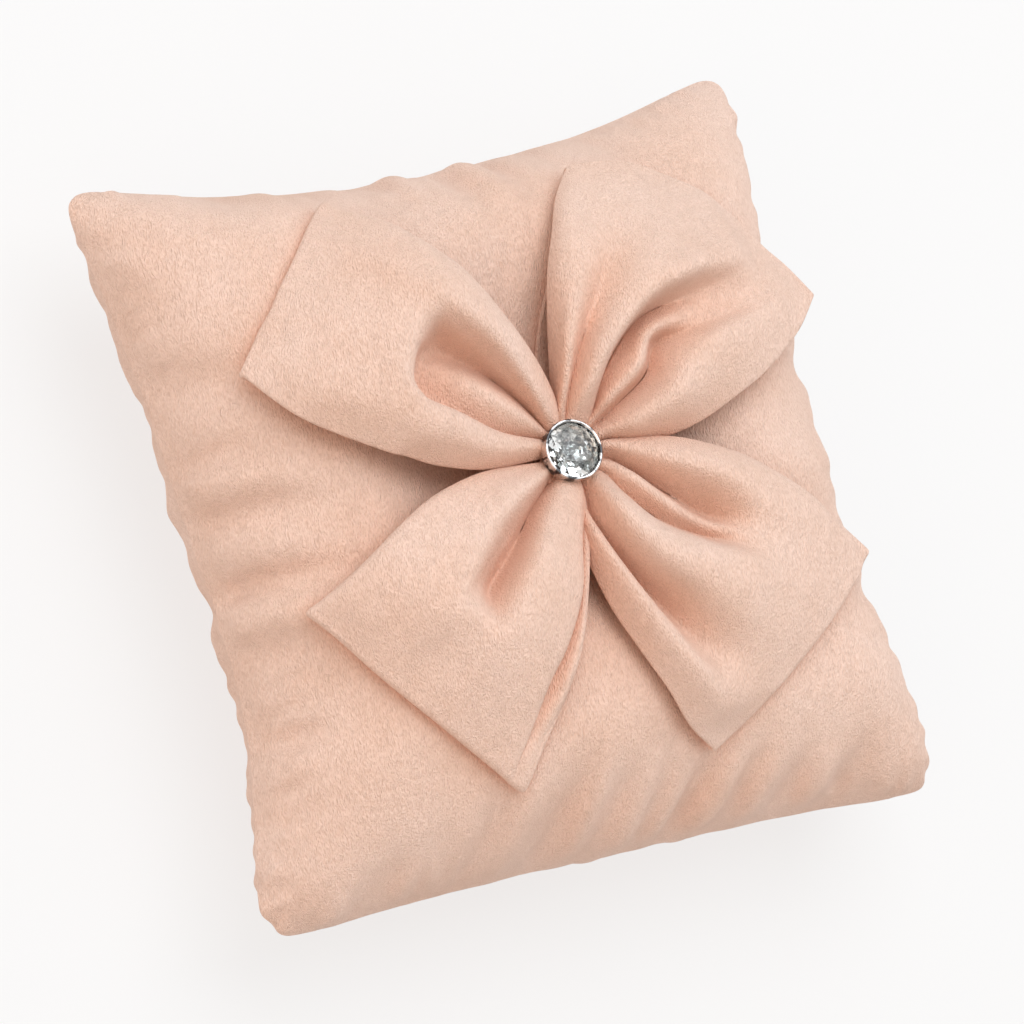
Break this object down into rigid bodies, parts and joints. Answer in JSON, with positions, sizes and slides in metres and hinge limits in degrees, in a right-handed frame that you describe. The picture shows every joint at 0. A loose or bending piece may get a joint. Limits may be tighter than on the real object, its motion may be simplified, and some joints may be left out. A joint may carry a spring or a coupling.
{
  "type": "ring bearer pillow",
  "caption": "Square tufted cushion in short-pile velour with a wide looped bow and a faceted crystal button, for carrying wedding rings.",
  "frame": {"origin": "under the centre of the cushion, on the surface it rests on when it lies on its back", "axes": "+Z out of the front through the crystal button, +Y towards the top edge, +X towards the right edge"},
  "size_m": [0.198, 0.1977, 0.0918],
  "materials": {
    "velour": "short-pile velour, blush",
    "polyester_fibre": "loose white fibre",
    "thread": "twisted polyester thread",
    "crystal": "clear cut crystal",
    "mirror_foil": "bright foil",
    "silver_setting": "polished silver plate",
    "button_plastic": "smooth, semi-gloss"
  },
  "bodies": {
    "cushion": {"front_cover": "velour", "back_cover": "velour", "fibre_filling": "polyester_fibre", "edge_seam_thread": "thread", "closing_stitches": "thread", "first_strip_waist": "velour", "second_strip_waist": "velour", "first_gather_thread": "thread", "second_gather_thread": "thread", "tuft_thread": "thread", "back_button": "button_plastic", "tie_off_knot": "thread"},
    "button": {"crystal_stone": "crystal", "foil_backing": "mirror_foil", "setting_cup": "silver_setting", "setting_back": "silver_setting", "shank": "silver_setting"},
    "upper_left_loop": {"upper_left_loop": "velour"},
    "upper_right_loop": {"upper_right_loop": "velour"},
    "lower_left_loop": {"lower_left_loop": "velour"},
    "lower_right_loop": {"lower_right_loop": "velour"}
  },
  "joints": [
    {"name": "button_twist", "type": "hinge", "parent": "cushion", "child": "button", "pos_m": [0, 0, 0.076], "axis": [0, 0, 1], "range_deg": [-35, 35], "stiffness_Nm_per_rad": 0.00002},
    {"name": "upper_left_loop_lift", "type": "hinge", "parent": "cushion", "child": "upper_left_loop", "pos_m": [-0.01226, 0.01104, 0.0672], "axis": [0.6691, 0.7431, 0], "range_deg": [0, 30]},
    {"name": "upper_right_loop_lift", "type": "hinge", "parent": "cushion", "child": "upper_right_loop", "pos_m": [0.01217, 0.01115, 0.0672], "axis": [0.6756, -0.7373, 0], "range_deg": [0, 30]},
    {"name": "lower_left_loop_lift", "type": "hinge", "parent": "cushion", "child": "lower_left_loop", "pos_m": [-0.01197, -0.01136, 0.0672], "axis": [-0.6884, 0.7254, 0], "range_deg": [0, 30]},
    {"name": "lower_right_loop_lift", "type": "hinge", "parent": "cushion", "child": "lower_right_loop", "pos_m": [0.01082, -0.01245, 0.0672], "axis": [-0.7547, -0.6561, 0], "range_deg": [0, 30]}
  ]
}
